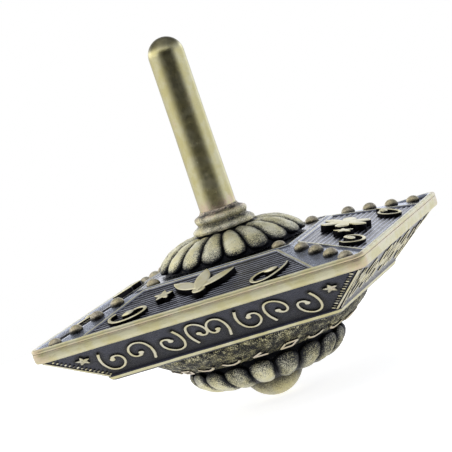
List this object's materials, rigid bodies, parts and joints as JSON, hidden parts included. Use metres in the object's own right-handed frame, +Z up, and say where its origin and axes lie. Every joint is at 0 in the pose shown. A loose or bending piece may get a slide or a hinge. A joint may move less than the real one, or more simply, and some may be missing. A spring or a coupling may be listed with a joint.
{
  "type": "spinning top",
  "caption": "Square four-sided spinning top with a sloping beaded roof, leaning tray sides, lobed cap and foot, slim finger stem and ball tip.",
  "frame": {"origin": "lowest point of the ball tip, in the middle of the bounding box's bottom face", "axes": "+Z up along the spin axis and the stem; the side with the sprig mark faces -Y, and the square body's sides are parallel to X and Y"},
  "size_m": [0.05, 0.05, 0.0539],
  "materials": {
    "polished_brass": "satin, olive toned, rubbed on the high points",
    "antiqued_brass": "blackened in the recesses, rubbed bright on the relief and the rim",
    "grained_brass": "rough cast grain, bright grains over a black patina",
    "steel": "plain zinc"
  },
  "bodies": {
    "root": {"stem": "polished_brass", "stem_collar": "grained_brass", "upper_lobed_cap": "grained_brass", "roof_shell": "antiqued_brass", "mark_sprig": "polished_brass", "mark_blossom": "polished_brass", "mark_crescent": "polished_brass", "mark_twin_leaf": "polished_brass", "tray_shell": "antiqued_brass", "base_plate": "grained_brass", "lower_lobed_foot": "grained_brass", "ball_tip": "polished_brass", "spacer_sleeve": "polished_brass", "clamp_washer": "steel", "clamp_nut": "steel"}
  },
  "joints": []
}
